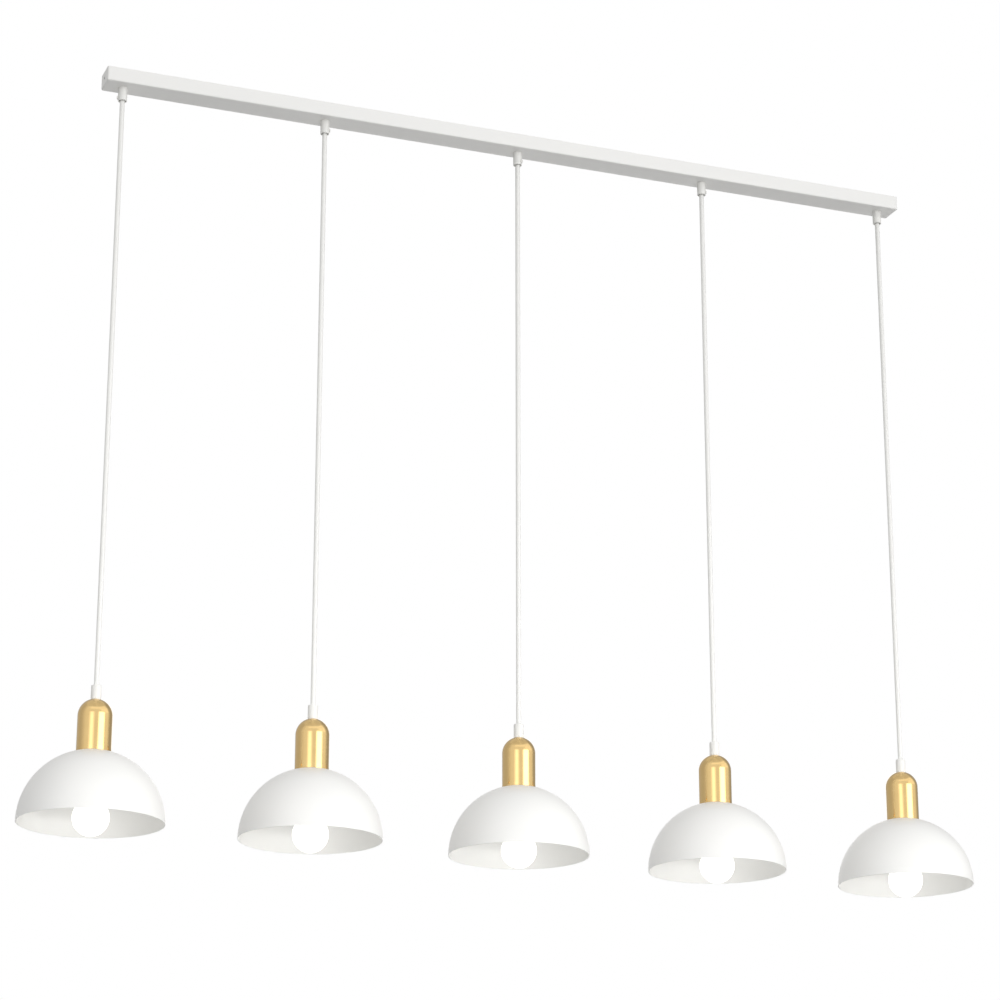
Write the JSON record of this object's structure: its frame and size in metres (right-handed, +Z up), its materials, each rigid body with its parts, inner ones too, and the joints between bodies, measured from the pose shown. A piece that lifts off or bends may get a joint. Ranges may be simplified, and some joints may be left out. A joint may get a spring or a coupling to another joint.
{
  "type": "bar pendant ceiling light",
  "caption": "Bar pendant ceiling light: a slim white bar canopy with a row of cords, each holding a brass bullet cap, a white half-round shade and an opal globe bulb.",
  "frame": {"origin": "on the ceiling, at the middle of the bar, halfway between the two ceiling slots", "axes": "+X along the bar, +Z up to the ceiling, +Y across the bar"},
  "size_m": [1.29, 0.18, 1.0135],
  "materials": {
    "white_powder_coat": "satin white powder coat",
    "zinc_plate": "zinc-plated steel",
    "ivory_plastic": "moulded nylon",
    "plain_brass": "turned and stamped brass",
    "core_insulation": "coloured core insulation",
    "white_grip_plastic": "moulded white nylon",
    "white_cord": "smooth white sheath",
    "polished_brass": "polished, lacquered",
    "holder_thermoplastic": "moulded thermoplastic",
    "opal_glass": "opal, satin",
    "nickel_plate": "rolled, plated shell"
  },
  "bodies": {
    "bar": {"canopy": "white_powder_coat", "ceiling_bracket": "zinc_plate", "end_screws": "zinc_plate", "terminal_block": "ivory_plastic", "terminal_clamps": "plain_brass", "inner_wires": "core_insulation", "cord_grips": "white_grip_plastic", "clamp_screws": "white_grip_plastic", "locknuts": "zinc_plate", "cord_tails": "white_cord"},
    "bend_1": {"cord_bend_1": "white_cord"},
    "pendant_1": {"cord_1": "white_cord", "ferrule_1": "white_grip_plastic", "cap_1": "polished_brass", "stem_1": "zinc_plate", "shade_1": "white_powder_coat", "holder_1": "holder_thermoplastic", "holder_contacts_1": "plain_brass"},
    "bulb_1": {"bulb_globe_1": "opal_glass", "bulb_base_1": "nickel_plate"},
    "bend_2": {"cord_bend_2": "white_cord"},
    "pendant_2": {"cord_2": "white_cord", "ferrule_2": "white_grip_plastic", "cap_2": "polished_brass", "stem_2": "zinc_plate", "shade_2": "white_powder_coat", "holder_2": "holder_thermoplastic", "holder_contacts_2": "plain_brass"},
    "bulb_2": {"bulb_globe_2": "opal_glass", "bulb_base_2": "nickel_plate"},
    "bend_3": {"cord_bend_3": "white_cord"},
    "pendant_3": {"cord_3": "white_cord", "ferrule_3": "white_grip_plastic", "cap_3": "polished_brass", "stem_3": "zinc_plate", "shade_3": "white_powder_coat", "holder_3": "holder_thermoplastic", "holder_contacts_3": "plain_brass"},
    "bulb_3": {"bulb_globe_3": "opal_glass", "bulb_base_3": "nickel_plate"},
    "bend_4": {"cord_bend_4": "white_cord"},
    "pendant_4": {"cord_4": "white_cord", "ferrule_4": "white_grip_plastic", "cap_4": "polished_brass", "stem_4": "zinc_plate", "shade_4": "white_powder_coat", "holder_4": "holder_thermoplastic", "holder_contacts_4": "plain_brass"},
    "bulb_4": {"bulb_globe_4": "opal_glass", "bulb_base_4": "nickel_plate"},
    "bend_5": {"cord_bend_5": "white_cord"},
    "pendant_5": {"cord_5": "white_cord", "ferrule_5": "white_grip_plastic", "cap_5": "polished_brass", "stem_5": "zinc_plate", "shade_5": "white_powder_coat", "holder_5": "holder_thermoplastic", "holder_contacts_5": "plain_brass"},
    "bulb_5": {"bulb_globe_5": "opal_glass", "bulb_base_5": "nickel_plate"}
  },
  "joints": [
    {"name": "sway_1", "type": "hinge", "parent": "bar", "child": "bend_1", "pos_m": [-0.555, 0, -0.039], "axis": [0, 1, 0], "range_deg": [-5, 30]},
    {"name": "swing_1", "type": "hinge", "parent": "bend_1", "child": "pendant_1", "pos_m": [-0.555, 0, -0.039], "axis": [1, 0, 0], "range_deg": [-30, 30]},
    {"name": "bulb_turn_1", "type": "hinge", "parent": "pendant_1", "child": "bulb_1", "pos_m": [-0.555, 0, -0.95], "axis": [0, 0, -1], "continuous": true},
    {"name": "sway_2", "type": "hinge", "parent": "bar", "child": "bend_2", "pos_m": [-0.2775, 0, -0.039], "axis": [0, 1, 0], "range_deg": [-5, 5]},
    {"name": "swing_2", "type": "hinge", "parent": "bend_2", "child": "pendant_2", "pos_m": [-0.2775, 0, -0.039], "axis": [1, 0, 0], "range_deg": [-30, 30]},
    {"name": "bulb_turn_2", "type": "hinge", "parent": "pendant_2", "child": "bulb_2", "pos_m": [-0.2775, 0, -0.95], "axis": [0, 0, -1], "continuous": true},
    {"name": "sway_3", "type": "hinge", "parent": "bar", "child": "bend_3", "pos_m": [0, 0, -0.039], "axis": [0, 1, 0], "range_deg": [-5, 5]},
    {"name": "swing_3", "type": "hinge", "parent": "bend_3", "child": "pendant_3", "pos_m": [0, 0, -0.039], "axis": [1, 0, 0], "range_deg": [-30, 30]},
    {"name": "bulb_turn_3", "type": "hinge", "parent": "pendant_3", "child": "bulb_3", "pos_m": [0, 0, -0.95], "axis": [0, 0, -1], "continuous": true},
    {"name": "sway_4", "type": "hinge", "parent": "bar", "child": "bend_4", "pos_m": [0.2775, 0, -0.039], "axis": [0, 1, 0], "range_deg": [-5, 5]},
    {"name": "swing_4", "type": "hinge", "parent": "bend_4", "child": "pendant_4", "pos_m": [0.2775, 0, -0.039], "axis": [1, 0, 0], "range_deg": [-30, 30]},
    {"name": "bulb_turn_4", "type": "hinge", "parent": "pendant_4", "child": "bulb_4", "pos_m": [0.2775, 0, -0.95], "axis": [0, 0, -1], "continuous": true},
    {"name": "sway_5", "type": "hinge", "parent": "bar", "child": "bend_5", "pos_m": [0.555, 0, -0.039], "axis": [0, 1, 0], "range_deg": [-30, 5]},
    {"name": "swing_5", "type": "hinge", "parent": "bend_5", "child": "pendant_5", "pos_m": [0.555, 0, -0.039], "axis": [1, 0, 0], "range_deg": [-30, 30]},
    {"name": "bulb_turn_5", "type": "hinge", "parent": "pendant_5", "child": "bulb_5", "pos_m": [0.555, 0, -0.95], "axis": [0, 0, -1], "continuous": true}
  ]
}
